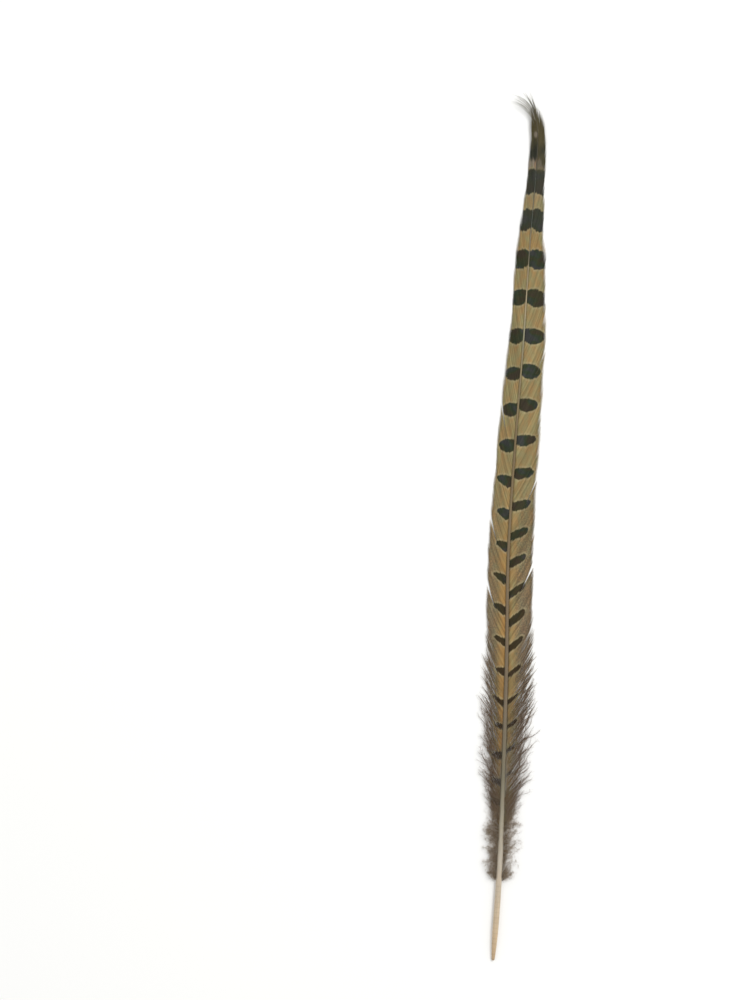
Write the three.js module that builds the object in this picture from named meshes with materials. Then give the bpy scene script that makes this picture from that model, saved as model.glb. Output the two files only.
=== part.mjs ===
// A ring-necked pheasant's tail feather, lying with its upper side up.
// Millimetres. +Y runs along the feather from the quill's end to its tip, +X to its right, +Z up.
// The origin is the middle of the underside of the whole feather's bounding box.
import * as THREE from "three";

// Driving dimensions
const SHAFT_END = 488; // where the shaft runs out, short of the last barbs of the tip
const QUILL_RADIUS = 1.7; // the bare, round quill at its thickest
const QUILL_TIP_RADIUS = 0.85;
const QUILL_TAPER = 22; // length of the quill's narrowed end
const QUILL_END = 60; // where the shaft starts to taper towards the tip
const SHAFT_TIP_RADIUS = 0.2;
const SHAFT_TAPER = 1.12; // 1 would be a straight cone, and more is thinner along the middle

const ARCH_RISE = 1.6; // how far the middle of the shaft stands off the surface
const ARCH_FULL_FROM = 200; // where the rise is complete
const SETTLE = 0.8; // how much of the rise is lost again towards the tip
const SETTLE_FROM = 320;
const SETTLE_TO = 450;
const TIP_LIFT = 5; // the last barbs of the tip stand this far off the surface
const TIP_LIFT_FROM = 440;
const TIP_LIFT_TO = 500;

const VANE_THICKNESS = 0.8;
const VANE_EDGE_THICKNESS = 0.5;
const BARB_BOW = 0.25; // how much a barb curves towards the tip
const RESTING_FROM = 0.7; // past this share of its length, a barb lies flat on the surface
const SHAFT_GAP = 0.3; // clearance between the shaft and what grows from it

const DOWN_HEIGHT = 4.6; // the downy tuft beside the quill, at its fullest
const DOWN_EDGE_HEIGHT = 1.2;
const DOWN_END_FULLNESS = 0.55; // the tuft's height at its two ends, as a share of its fullest

// How finely the solids are divided
const SHAFT_SIDES = 12;
const SHAFT_STEP = 7;
const VANE_STEP = 5.5;
const VANE_SHARES = [0, 0.2, 0.42, RESTING_FROM, 1];
const DOWN_STEP = 4;
const DOWN_SHARES = [0, 0.25, 0.5, 0.8, 1];
const CURVE_STEPS = 400;

// The shaft's gentle bend, seen from above: [side, along]
const SHAFT_LINE = [
  [-10.9, 0],
  [-7.5, 48],
  [-4.8, 117],
  [-3.2, 175],
  [-2.3, 232],
  [1.9, 299],
  [6.3, 353],
  [10.3, 412],
  [13.9, 455],
  [14.6, 474],
  [12.6, 489],
  [8.8, 502],
];

// For the barbs that leave the shaft at each root: how far out their tips reach on each side, and
// how far forward they sweep.
const VANE_BARBS = {
  root: [78, 100, 150, 230, 324, 370, 411, 440, 465, 486],
  left: [6.0, 10.5, 12.0, 11.0, 8.4, 7.3, 5.4, 4.3, 2.5, 0.6],
  right: [7.0, 13.0, 15.0, 14.2, 12.8, 9.6, 6.3, 5.0, 3.2, 0.6],
  sweep: [14, 18, 22, 25, 27, 27, 26, 24, 20, 13],
};
const DOWN_BARBS = {
  root: [44, 52, 64, 76],
  left: [4.5, 7.0, 8.6, 7.2],
  right: [5.0, 8.0, 9.6, 8.2],
  sweep: [3, 6, 10, 12.6],
};

// A smooth function through one row of a table of barbs.
function smoothRow(table, row) {
  const roots = new Float32Array(table.root);
  const curve = new THREE.CubicInterpolant(roots, new Float32Array(table[row]), 1);
  return (root) => curve.evaluate(root)[0];
}

function spaced(from, to, step) {
  const count = Math.ceil((to - from) / step);
  return Array.from({ length: count + 1 }, (_, i) => THREE.MathUtils.lerp(from, to, i / count));
}

const shaftCurve = new THREE.CatmullRomCurve3(
  SHAFT_LINE.map(([side, along]) => new THREE.Vector3(side, along, 0)),
);
const shaftPoints = shaftCurve.getSpacedPoints(CURVE_STEPS);

// The shaft's centre line at a place along the feather, laid on the surface, and the way to its right.
function shaftFrame(along) {
  const found = shaftPoints.findIndex((point) => point.y >= along);
  const upper = Math.max(1, found < 0 ? CURVE_STEPS : found);
  const before = shaftPoints[upper - 1];
  const after = shaftPoints[upper];
  const share = (along - before.y) / (after.y - before.y);
  const ahead = after.clone().sub(before).normalize();
  return {
    centre: before.clone().lerp(after, share),
    right: new THREE.Vector3(ahead.y, -ahead.x, 0),
  };
}

function shaftRadius(along) {
  const narrowed = Math.max(0, 1 - along / QUILL_TAPER);
  const remaining = THREE.MathUtils.clamp((SHAFT_END - along) / (SHAFT_END - QUILL_END), 0, 1);
  const full = THREE.MathUtils.lerp(SHAFT_TIP_RADIUS, QUILL_RADIUS, remaining ** SHAFT_TAPER);
  return full - (QUILL_RADIUS - QUILL_TIP_RADIUS) * narrowed ** 2;
}

function tipLift(along) {
  const share = Math.max(0, along - TIP_LIFT_FROM) / (TIP_LIFT_TO - TIP_LIFT_FROM);
  return TIP_LIFT * share ** 2;
}

// The height of the shaft's centre above the surface, where the feather lies flat.
function restingHeight(along) {
  const rise = ARCH_RISE * THREE.MathUtils.smoothstep(along, QUILL_END, ARCH_FULL_FROM);
  const settled = SETTLE * THREE.MathUtils.smoothstep(along, SETTLE_FROM, SETTLE_TO);
  return shaftRadius(along) + rise - settled;
}

// A closed solid through rings that all have the same even number of points. Each end is closed by
// a strip that joins the ring's first half to its second half.
function loft(rings) {
  const count = rings[0].length;
  const index = [];
  const quad = (a, b, c, d) => index.push(a, b, c, a, c, d);
  for (let ring = 0; ring < rings.length - 1; ring++) {
    const here = ring * count;
    const there = here + count;
    for (let corner = 0; corner < count; corner++) {
      const next = (corner + 1) % count;
      quad(here + corner, here + next, there + next, there + corner);
    }
  }
  const last = (rings.length - 1) * count;
  for (let corner = 0; corner < count / 2 - 1; corner++) {
    const facing = count - 1 - corner;
    quad(corner, facing, facing - 1, corner + 1);
    quad(last + corner, last + corner + 1, last + facing - 1, last + facing);
  }
  const geometry = new THREE.BufferGeometry().setFromPoints(rings.flat());
  geometry.setIndex(index);
  geometry.computeVertexNormals();
  return geometry;
}

// The shaft: bare quill and barbed rachis in one tapering, round length.
function shaftGeometry() {
  const rings = spaced(0, SHAFT_END, SHAFT_STEP).map((along) => {
    const { centre, right } = shaftFrame(along);
    const radius = shaftRadius(along);
    const height = restingHeight(along) + tipLift(along);
    return Array.from({ length: SHAFT_SIDES }, (_, side) => {
      const angle = (2 * Math.PI * (side + 0.5)) / SHAFT_SIDES;
      const point = centre.clone().addScaledVector(right, radius * Math.cos(angle));
      return point.setZ(height - radius * Math.sin(angle));
    });
  });
  return loft(rings);
}

// One ring of a vane or a tuft, along a barb: its upper side from the shaft outwards, then its
// underside back. `hand` is 1 to the right of the shaft and -1 to its left.
function barbRing(barb, hand, shares, underside, thickness) {
  const inner = shaftRadius(barb.root) + SHAFT_GAP;
  const places = shares.map((share) => {
    const along = barb.root + barb.sweep * share;
    const out = inner + (barb.reach - inner) * share * (1 + BARB_BOW * (1 - share));
    const clear = Math.max(out, shaftRadius(along) + SHAFT_GAP);
    const { centre, right } = shaftFrame(along);
    return { share, along, point: centre.addScaledVector(right, hand * clear) };
  });
  const bottom = places.map((place) => place.point.clone().setZ(underside(place)));
  const top = places.map((place) => place.point.clone().setZ(underside(place) + thickness(place)));
  const ring = [...top, ...bottom.reverse()];
  return hand > 0 ? ring : ring.reverse();
}

// A vane on one side: a thin web that leaves the shaft at its centre's height, and lies flat on the
// surface along its outer edge.
function vaneGeometry(side, hand) {
  const reachAt = smoothRow(VANE_BARBS, side);
  const sweepAt = smoothRow(VANE_BARBS, "sweep");
  const rings = spaced(VANE_BARBS.root[0], VANE_BARBS.root.at(-1), VANE_STEP).map((root) => {
    const barb = { root, reach: reachAt(root), sweep: sweepAt(root) };
    const underside = ({ share, along }) => {
      const fallen = THREE.MathUtils.smoothstep(share, 0, RESTING_FROM);
      return restingHeight(root) * (1 - fallen) + tipLift(along);
    };
    const thickness = ({ share }) =>
      THREE.MathUtils.lerp(VANE_THICKNESS, VANE_EDGE_THICKNESS, share);
    return barbRing(barb, hand, VANE_SHARES, underside, thickness);
  });
  return loft(rings);
}

// The downy barbs beside the top of the quill: a soft tuft on one side, highest in its middle.
function downGeometry(side, hand) {
  const reachAt = smoothRow(DOWN_BARBS, side);
  const sweepAt = smoothRow(DOWN_BARBS, "sweep");
  const first = DOWN_BARBS.root[0];
  const last = DOWN_BARBS.root.at(-1);
  const rings = spaced(first, last, DOWN_STEP).map((root) => {
    const barb = { root, reach: reachAt(root), sweep: sweepAt(root) };
    const swell = Math.sin((Math.PI * (root - first)) / (last - first));
    const fullness = THREE.MathUtils.lerp(DOWN_END_FULLNESS, 1, swell);
    const thickness = ({ share }) =>
      fullness * THREE.MathUtils.lerp(DOWN_HEIGHT, DOWN_EDGE_HEIGHT, share ** 2);
    return barbRing(barb, hand, DOWN_SHARES, () => 0, thickness);
  });
  return loft(rings);
}

function keratin(color, roughness) {
  return new THREE.MeshStandardMaterial({ color, roughness, metalness: 0 });
}

const horn = keratin("#c4ad8c", 0.4);
const barredWeb = keratin("#8c7b58", 0.75);
const greyDown = keratin("#97856f", 0.95);

function named(name, geometry, material) {
  const mesh = new THREE.Mesh(geometry, material);
  mesh.name = name;
  return mesh;
}

const feather = new THREE.Group();
feather.add(named("shaft", shaftGeometry(), horn));
feather.add(named("vane_left", vaneGeometry("left", -1), barredWeb));
feather.add(named("vane_right", vaneGeometry("right", 1), barredWeb));
feather.add(named("down_left", downGeometry("left", -1), greyDown));
feather.add(named("down_right", downGeometry("right", 1), greyDown));

// Puts the origin under the middle of the feather, on the surface that it lies on.
const bounds = new THREE.Box3().setFromObject(feather);
const middle = bounds.getCenter(new THREE.Vector3());
feather.position.set(-middle.x, -middle.y, -bounds.min.z);

export default feather;
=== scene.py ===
"""A ring-necked pheasant's tail feather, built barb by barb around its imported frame.

Lengths inside the functions are millimetres, and `along` is the distance from the quill's end.
`out` is the distance from the shaft's centre line, to whichever side the barb grows on. A `share`
runs from 0 at a barb's root to 1 at its tip.
"""

import math

import bpy
import numpy as np
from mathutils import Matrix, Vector


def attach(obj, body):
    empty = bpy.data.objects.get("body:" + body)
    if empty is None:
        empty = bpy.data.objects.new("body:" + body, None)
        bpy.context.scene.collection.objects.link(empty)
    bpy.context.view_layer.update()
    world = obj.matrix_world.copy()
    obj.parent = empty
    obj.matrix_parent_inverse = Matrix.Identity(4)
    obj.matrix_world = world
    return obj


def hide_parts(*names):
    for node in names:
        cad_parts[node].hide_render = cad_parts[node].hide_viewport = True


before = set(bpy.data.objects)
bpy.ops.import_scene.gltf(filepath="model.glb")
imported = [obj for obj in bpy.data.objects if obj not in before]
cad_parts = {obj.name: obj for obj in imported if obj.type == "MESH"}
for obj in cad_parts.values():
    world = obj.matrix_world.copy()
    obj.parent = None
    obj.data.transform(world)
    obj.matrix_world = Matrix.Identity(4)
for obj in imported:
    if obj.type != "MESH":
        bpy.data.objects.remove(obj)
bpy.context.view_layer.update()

bl_info = {
    "name": "Pheasant Tail Feather",
    "version": (1, 0, 0),
    "blender": (4, 5, 0),
    "location": "View3D > Sidebar > Feather",
    "description": "Builds a barred pheasant tail feather, barb by barb, along its packed solids",
    "category": "Add Mesh",
}

MM = 0.001  # metres in a millimetre
UP = np.array((0.0, 0.0, 1.0))
LEFT, RIGHT = -1, 1
SIDES = {"left": LEFT, "right": RIGHT}
SEED = 20
DOWN_SEED = 30

# Where things are along the feather, in millimetres from the quill's end
DOWN_FROM, DOWN_TO = 45.0, 93.0
VANE_FROM, VANE_TO = 77.0, 487.5
LOOSE_BELOW = 185.0  # below this the barbs no longer hook together
LOOSE_WHOLLY = 92.0
TIP_BROWN_FROM = 459.9
TIP_BROWN_EDGE = 1.2  # half the length over which it sets in
TIP_BROWN_LOWER = (2.0, 4.2, 4.5)  # on the right: from and to where on the way out, and how much lower
SPECK = (474.0, 1.1, 1.9, 1.1)  # a faded speck on the tip's left side: along, out, and its two radii
SPECK_BROWN = 0.25  # the share of the tip's brown that is left in it

# On the right the last pale patch is dusky: where it turns so, and its share of the tip's brown.
DUSKY_PATCH = (451.5, 454.0, 0.62)

# The dark bars on each side, from the tip down. Each has its middle's place beside the shaft, its
# height, how far out it reaches, and how much it rises on the way out, as a slope.
BARS = {
    LEFT: (
        (448.2, 15.4, 14.0, 0.0),
        (426.0, 13.0, 14.0, 0.0),
        (403.4, 11.3, 13.0, 0.0),
        (381.2, 9.5, 12.0, 0.0),
        (358.9, 9.2, 10.5, 0.0),
        (337.1, 8.0, 9.5, 0.0),
        (316.5, 8.0, 9.0, 0.0),
        (296.0, 7.9, 9.2, 0.0),
        (275.0, 7.1, 9.2, 0.15),
        (256.0, 6.6, 7.8, 0.2),
        (237.4, 6.1, 7.2, 0.2),
        (218.3, 5.4, 8.2, 0.42),
        (200.6, 5.6, 8.0, 0.42),
        (182.5, 5.0, 7.4, 0.42),
        (166.0, 4.8, 6.0, 0.15),
        (147.0, 4.0, 7.6, 0.6),
        (133.9, 3.6, 6.2, 0.3),
        (117.8, 4.8, 7.2, 0.0),
        (102.6, 4.4, 6.8, 0.1),
        (90.6, 4.0, 6.6, 0.1),
    ),
    RIGHT: (
        (448.2, 15.4, 16.0, 0.0),
        (426.2, 13.0, 16.0, 0.0),
        (403.6, 11.5, 15.0, 0.0),
        (381.3, 10.2, 14.0, 0.0),
        (359.3, 9.3, 12.5, 0.0),
        (339.0, 8.7, 11.5, 0.02),
        (319.6, 7.8, 11.5, 0.05),
        (298.7, 6.6, 12.0, 0.14),
        (279.4, 6.5, 12.0, 0.19),
        (260.6, 5.5, 11.5, 0.3),
        (243.2, 5.2, 11.0, 0.45),
        (227.3, 4.8, 10.5, 0.55),
        (209.3, 4.6, 10.5, 0.7),
        (193.0, 5.2, 10.5, 0.75),
        (178.0, 4.0, 9.5, 0.85),
        (163.0, 3.3, 8.5, 0.8),
        (147.4, 2.9, 7.5, 0.8),
        (133.0, 2.6, 7.0, 0.8),
        (119.0, 2.6, 6.5, 0.8),
        (105.0, 2.4, 6.0, 0.8),
    ),
}
NO_BAR = -50.0  # the depth far from any bar
# The upper edge of a lobe: how far across the vane it is highest, over what width it drops and by
# how much, and the least share of its height that is left
DOME_AT, DOME_WIDTH, DOME_DROP, DOME_LEAST = 0.42, 0.58, 0.34, 0.3
BAR_ABOVE = 0.42  # the share of a bar's height that is above its middle
BAR_DEEPEST = 0.36  # where on the way out its lower edge reaches lowest
BAR_AT_SHAFT = 0.5  # how deep it is beside the shaft, as a share of its deepest
BAR_AT_SHAFT_GAIN = (350, 430, 0.26)  # between which places that share grows, and by how much
STRIP_SLANTS = (0.1, 0.5)  # the right vane's bars turn from lobes to slanting strips
WEDGES_BELOW = (300, 270)  # the left vane's bars turn from lobes to wedges

# How far a bar's edge wavers from barb to barb: at random, and smoothly along the vane
BAR_JITTER = 0.22
BAR_TOOTH, BAR_TOOTH_GAIN, BAR_TOOTH_PLACES, BAR_TOOTH_SCALE = 0.25, 0.4, (330, 420), 2.6

# Places where the barbs have come apart: where along the shaft, how wide in radians, and over what
# length of shaft the barbs above and below it lean away.
SPLITS = {
    LEFT: ((287, 0.022, 3, 5), (226, 0.03, 3, 4), (190, 0.04, 4, 5), (158, 0.05, 4, 4)),
    RIGHT: ((318, 0.014, 3, 3), (247, 0.022, 4, 4), (201, 0.035, 4, 5), (168, 0.05, 4, 5)),
}
SPLIT_BELOW = 0.3  # how far the barbs below a split lean, as a share of those above it

# The barbs of the vanes
BARB_POINTS = 24
BARB_BOW = 0.28  # how much a barb curves towards the tip
BARB_SWEEP_ALONG = (77, 100, 150, 230, 324, 411, 440, 465, 487.5)
BARB_SWEEP = (13, 18, 22, 28, 34, 32, 28, 21, 14)
BARB_SET = 0.75  # how far out from the middle of the shaft a barb starts, as a share of its radius
BARB_PITCHES = (0.08, 0.55)  # a barb's width follows the barbs' spacing between these limits
LOOSE_NARROWER, CURLED_WIDER, CURLED_LONGER = 0.55, 0.3, 0.4  # as shares of width and length
BARB_LOWEST, HAIR_LOWEST, DOWN_LOWEST = 0.2, 0.06, 0.15  # the least height of their centre lines
LENGTH_VARIES, LENGTH_SCALE = 0.02, 6.0
LOOSE_STRETCH = (-0.25, 0.2)  # how much shorter or longer a loose barb is
WHOLE_BARBS = 0.16  # the share of the tip's barbs that aren't worn short
WORN_AWAY = 0.34  # how much of a worn barb is missing, at most
TURNS = ((0.012, 14.0), (0.006, 3.0))  # radians that the barbs turn by, and over what length
LOOSE_TURN, FRAYED_TURN, WAVE_TURN = 0.16, 0.035, 0.05  # in radians
WAVES = (1.0, 2.2)  # how often a loose barb waves along its length
WEB_LIFT = 0.28  # how far the web stands off the surface that it falls to
RIPPLE, RIPPLE_SCALE = 0.7, 22.0  # how far its margin rises here and there, and over what length
CLUMP, CLUMP_SCALE = 0.12, 1.6  # the same for its clumps of barbs
LOOSE_LIFT = (0, 2.2)  # how far a loose barb's tip stands off the web
TIP_LEAN = {LEFT: (480.5, 486.5, 0.24), RIGHT: (458.0, 484.0, 0.18)}  # roots, and radians to the left
STRAYS = (473.5, 483.0)  # between these roots some of the left barbs have come loose and curl away
STRAY_SHARE = 0.8
STRAY_CURL = 0.48  # in radians, for the most curled
STRAY_CURLS = (0.65, 1.0)
STEEPEST = 0.6  # slope of the web across its barbs, in radians

# The barbs of the down
DOWN_POINTS = 16
DOWN_LENGTHS = (0.6, 1.1)
DOWN_ANGLES = (25, 70)  # from the shaft, in degrees
DOWN_PEAKS = (-1.2, 2.6)  # how far a barb rises on its way out
DOWN_WAVES = (1.2, 2.6)
DOWN_WAVE_SIZE = 0.8

# Cross-sections, in half widths and half depths
BARB_SECTION = ((-1.0, -0.15), (0.0, 1.0), (1.0, -0.45), (0.0, -0.9))  # web, ridge, web, underside
UNDERSIDE = (0, 0, 0, 1)
HAIR_SECTION = ((-0.87, -0.5), (0.0, 1.0), (0.87, -0.5))

# The barbules of the loose barbs and of the down
HAIR_POINTS = 4
HAIR_TAPER = 0.75
HAIR_PLACES = (0.05, 0.99)  # where along its barb a barbule grows
HAIR_LENGTHS = (0.55, 1.0)
DARK_CHANCE, PALE_CHANCE = 0.1, 0.12  # hairs from a dark bar have chances below these two


def linear(hex_colour):
    """An sRGB hex colour as linear red, green and blue."""
    parts = [int(hex_colour[i : i + 2], 16) / 255 for i in (1, 3, 5)]
    return tuple(c / 12.92 if c <= 0.04045 else ((c + 0.055) / 1.055) ** 2.4 for c in parts)


def smoothstep(low, high, value):
    share = np.clip((value - low) / (high - low), 0, 1)
    return share * share * (3 - 2 * share)


def smooth_curve(places, values):
    """A smooth function through points, which runs on straight past its ends."""
    places, values = np.asarray(places, float), np.asarray(values, float)
    slopes = np.gradient(values, places)

    def curve(place):
        held = np.clip(place, places[0], places[-1])
        after = np.clip(np.searchsorted(places, held), 1, len(places) - 1)
        before = after - 1
        width = places[after] - places[before]
        t = (held - places[before]) / width
        start = values[before] * (1 + 2 * t) * (1 - t) ** 2 + slopes[before] * width * t * (1 - t) ** 2
        end = values[after] * (3 - 2 * t) * t**2 + slopes[after] * width * (t - 1) * t**2
        past = np.where(place < places[0], slopes[0], slopes[-1]) * (place - held)
        return start + end + past

    return curve


def smooth_random(rng, places, scale):
    """Random numbers from -1 to 1 that change smoothly along the places, once in about a scale."""
    knots = np.arange(places.min() - 2 * scale, places.max() + 3 * scale, scale)
    return smooth_curve(knots, rng.uniform(-1, 1, len(knots)))(places)


def node_points(name):
    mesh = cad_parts[name].data
    points = np.empty(len(mesh.vertices) * 3, np.float32)
    mesh.vertices.foreach_get("co", points)
    return points.reshape(-1, 3).astype(float) / MM


def stacked(*values):
    """Values of any shapes that fit each other, as one array of vectors."""
    return np.stack(np.broadcast_arrays(*values), axis=-1)


class FeatherLine:
    """The shaft's line, and the outlines of what grows from it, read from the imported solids."""

    RING_GAP = 2.0  # the shaft's rings of points are further apart than this
    ROUND_SHARE = math.cos(math.radians(15))  # of a 12-sided ring's height in its true diameter
    OUTLINE_STEP = 5.5
    OUTLINE_MARGIN = 12  # an outline starts this far above a solid's foot

    def __init__(self):
        shaft = node_points("shaft")
        shaft = shaft[np.argsort(shaft[:, 1])]
        rings = np.split(shaft, np.flatnonzero(np.diff(shaft[:, 1]) > self.RING_GAP) + 1)
        self.quill_end = shaft[0, 1]
        middles = np.array([(ring.min(0) + ring.max(0)) / 2 for ring in rings])
        radii = np.array([np.ptp(ring[:, 2]) / 2 / self.ROUND_SHARE for ring in rings])
        vanes = {hand: node_points(f"vane_{side}") for side, hand in SIDES.items()}
        tips = np.array([points[points[:, 1].argmax()] for points in vanes.values()])
        middles = np.vstack([middles, tips.mean(0)])
        places = middles[:, 1] - self.quill_end
        self.shaft_length = places[-2]
        self.side = smooth_curve(places, middles[:, 0])
        self.height = smooth_curve(places, middles[:, 2])
        self.radius = smooth_curve(places, np.append(radii, radii[-1] / 2))
        self.reach, self.surface = {}, None
        for hand, points in vanes.items():
            steps, reach, lowest = self.outline(points, hand)
            self.reach[hand] = smooth_curve(steps, reach)
            self.surface = smooth_curve(steps, lowest)

    def outline(self, points, hand):
        """How far out a solid reaches, and how low, at steps along the feather."""
        along = points[:, 1] - self.quill_end
        out = hand * (points[:, 0] - self.side(along))
        steps = np.arange(along.min() + self.OUTLINE_MARGIN, along.max(), self.OUTLINE_STEP)
        near = [np.abs(along - step) < self.OUTLINE_STEP for step in steps]
        reach = [out[there].max() for there in near]
        lowest = [points[there, 2].min() for there in near]
        return steps, reach, lowest

    def points(self, along, out, hand, height):
        """Points in the frame from places on the feather."""
        slope = self.side(along + 0.5) - self.side(along - 0.5)
        level = np.sqrt(1 + slope**2)
        x = self.side(along) + hand * out / level
        y = along + self.quill_end - hand * out * slope / level
        return stacked(x, y, height)


LINE = FeatherLine()


# Meshes


def unit(vectors):
    return vectors / np.maximum(np.linalg.norm(vectors, axis=-1, keepdims=True), 1e-9)


def axes(lines):
    """The ways ahead, level to the side, and over it, at each step of lines (strip, step)."""
    ahead = unit(np.gradient(lines, axis=1))
    side = unit(np.cross(ahead, UP))
    return ahead, side, np.cross(side, ahead)


def strip_points(lines, half_width, half_depth, section, tilt=0.0):
    """The corners (strip, step, corner) of thin solids that follow lines (strip, step)."""
    section = np.array(section)
    tilt = np.asarray(tilt)[..., None]
    _, side, over = axes(lines)
    lean = np.cos(tilt) * side + np.sin(tilt) * over
    over = np.cos(tilt) * over - np.sin(tilt) * side
    across = half_width[..., None, None] * section[:, :1] * lean[:, :, None]
    upward = half_depth[..., None, None] * section[:, 1:] * over[:, :, None]
    return lines[:, :, None] + across + upward


def strip_faces(strips, steps, corners):
    """The side faces (strip, step, corner, 4) and both ends of strips with closed sections."""
    index = np.arange(strips * steps * corners).reshape(strips, steps, corners)
    turned = np.roll(index, -1, axis=2)
    sides = np.stack([index[:, :-1], turned[:, :-1], turned[:, 1:], index[:, 1:]], axis=-1)
    return sides, np.concatenate([index[:, 0, ::-1], index[:, -1]])


def make_piece(name, points, facts, bake_map, material, replaces=None):
    """A mesh object from strips' corners (strip, step, corner), the facts that hold at them, and
    the map that its colours are baked to. It rides on the root body."""
    faces = strip_faces(*points.shape[:3])
    sizes = np.concatenate([np.full(block.size // block.shape[-1], block.shape[-1]) for block in faces])
    corners = np.concatenate([block.ravel() for block in faces])
    mesh = bpy.data.meshes.new(name)
    mesh.vertices.add(points.size // 3)
    mesh.vertices.foreach_set("co", (points * MM).ravel())
    mesh.loops.add(len(corners))
    mesh.loops.foreach_set("vertex_index", corners)
    mesh.polygons.add(len(sizes))
    mesh.polygons.foreach_set("loop_start", np.cumsum(sizes) - sizes)
    mesh.update(calc_edges=True)
    mesh.polygons.foreach_set("use_smooth", np.ones(len(sizes), bool))
    for fact, values in facts.items():
        values = np.broadcast_to(values, points.shape).astype(np.float32)
        mesh.attributes.new(fact, "FLOAT_VECTOR", "POINT").data.foreach_set("vector", values.ravel())
    if bake_map is not None:
        mesh.uv_layers.new(name="OFBake").uv.foreach_set("vector", bake_map.astype(np.float32).ravel())
    mesh.materials.append(material)
    piece = bpy.data.objects.new(name, mesh)
    bpy.context.scene.collection.objects.link(piece)
    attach(piece, "root")
    if replaces:
        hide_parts(replaces)


def bake_places(*blocks):
    """One list of a map's places, from blocks of them: (across, up)."""
    return np.concatenate([stacked(*block).reshape(-1, 2) for block in blocks])


def barb_bake_map(strips, steps):
    """Gives each barb a column of its own, in one of four rows. Their upper sides take the map's
    lower three quarters, and their undersides the rest."""
    rows, upper = 4, 0.75
    left, middle, right = 0.08, 0.5, 0.92  # across a column
    margin, end_height = 0.02, 0.015  # a column's ends take the gaps between the rows
    per_row = math.ceil(strips / rows)
    strip = np.arange(strips)
    column, row = strip % per_row, strip // per_row
    edges = np.array([[left, middle], [middle, right], [right, middle], [middle, left]])
    on_top = np.arange(4) < 2
    low = np.where(on_top, 0.0, upper)[:, None]
    tall = np.where(on_top, upper, 1 - upper)[:, None] / rows
    share = (np.arange(steps - 1)[:, None, None] + np.array([0, 0, 1, 1])) / (steps - 1)
    u = (column[:, None, None, None] + edges[:, [0, 1, 1, 0]]) / per_row
    v = low + tall * (row[:, None, None, None] + margin + (1 - 2 * margin) * share)
    end_u = (column[:, None] + np.array([left, right, right, left])) / per_row
    root_v = upper / rows * (row[:, None] + end_height * np.array([0, 0, 1, 1]))
    tip_v = upper / rows * (row[:, None] + 1 - end_height * np.array([1, 1, 0, 0]))
    return bake_places((u, v), (end_u, root_v), (end_u, tip_v))


def hair_bake_map(chance, steps):
    """Hairs with nearly the same chance share a narrow column, because they have nearly the same
    colours. A hair's three sides lie on each other in it, and its ends at the column's ends."""
    wide, end_height = 1 / 128, 0.01
    sides = np.zeros((3, 1))
    share = (np.arange(steps - 1)[:, None, None] + np.array([0, 0, 1, 1])) / (steps - 1)
    left = chance[:, None] * (1 - wide)
    u = left[:, None, None] + wide * np.array([0, 1, 1, 0])
    end_u = left + wide * np.array([0.0, 1.0, 0.5])
    end_v = end_height * np.array([0, 0, 1])
    return bake_places((u, share + sides), (end_u, end_v), (end_u, 1 - end_v))


# Barbs


def bar_depth(along, out, hand):
    """How deep inside a dark bar a place lies, in millimetres. It is negative between bars. The far
    end of a lobe is round, that of a strip square, and a wedge comes to a point."""
    deepest = np.full(along.shape, NO_BAR)
    gain_from, gain_to, gain = BAR_AT_SHAFT_GAIN
    for middle, height, reach, slant in BARS[hand]:
        share = np.clip(out / reach, 0, 1)
        above = along - middle - slant * out
        strip = smoothstep(*STRIP_SLANTS, slant) if hand == RIGHT else 0
        wedge = smoothstep(*WEDGES_BELOW, middle) if hand == LEFT else 0
        lobe = 1 - strip - wedge
        at_shaft = BAR_AT_SHAFT + gain * smoothstep(gain_from, gain_to, middle)
        deepest_at = BAR_DEEPEST * (1 - 0.65 * strip - 0.15 * wedge)
        near = at_shaft + (1 - at_shaft) * np.sin(np.pi / 2 * np.clip(share / deepest_at, 0, 1))
        far = np.clip((share - deepest_at) / (1 - deepest_at), 0, 1)
        rounded = np.sqrt(1 - far ** (2 + 6 * strip))
        lower = (1 - BAR_ABOVE) * height * near * (rounded + wedge * (1 - 0.9 * far - rounded))
        wide = LINE.reach[hand](middle)
        dome = np.clip(1 - DOME_DROP * lobe * ((out / wide - DOME_AT) / DOME_WIDTH) ** 2, DOME_LEAST, 1)
        upper = BAR_ABOVE * height * np.sqrt(1 - share ** (4 + 4 * strip)) * dome
        depth = np.minimum(np.minimum(upper - above, lower + above), reach - out)
        deepest = np.maximum(deepest, depth)
    return deepest


def barb_turns(roots, share, loose, frayed, hand, opening, rng):
    """How far each barb turns from its place in the web, in radians towards the tip, so that the
    vane parts here and there along its margin. Also how much each one is curled, from 0 to 1."""
    count = len(roots)
    turn = sum(size * smooth_random(rng, roots, scale) for size, scale in TURNS)
    for place, width, above, below in SPLITS[hand]:
        offset = roots - place
        turn += np.where(offset > 0, opening * width * np.exp(-offset / above), 0)
        turn -= np.where(offset <= 0, SPLIT_BELOW * opening * width * np.exp(offset / below), 0)
    turn = turn * share
    lean_from, lean_to, lean = TIP_LEAN[hand]
    turn += hand * lean * smoothstep(lean_from, lean_to, roots) * share
    turn += LOOSE_TURN * loose * rng.normal(0, 1, (count, 1)) * share
    turn += FRAYED_TURN * frayed * rng.normal(0, 1, (count, 1)) * share**2
    curled = np.zeros((count, 1))
    if hand == LEFT:
        stray = (roots > STRAYS[0]) & (roots < STRAYS[1])
        stray = stray & (rng.uniform(0, 1, (count, 1)) < STRAY_SHARE)
        curled = stray * rng.uniform(*STRAY_CURLS, (count, 1))
        turn -= STRAY_CURL * curled * share**1.6
    waves = rng.uniform(*WAVES, (count, 1))
    wave = np.sin(2 * np.pi * (share * waves + rng.uniform(0, 1, (count, 1))))
    return turn + WAVE_TURN * loose * wave * share, curled


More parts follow.
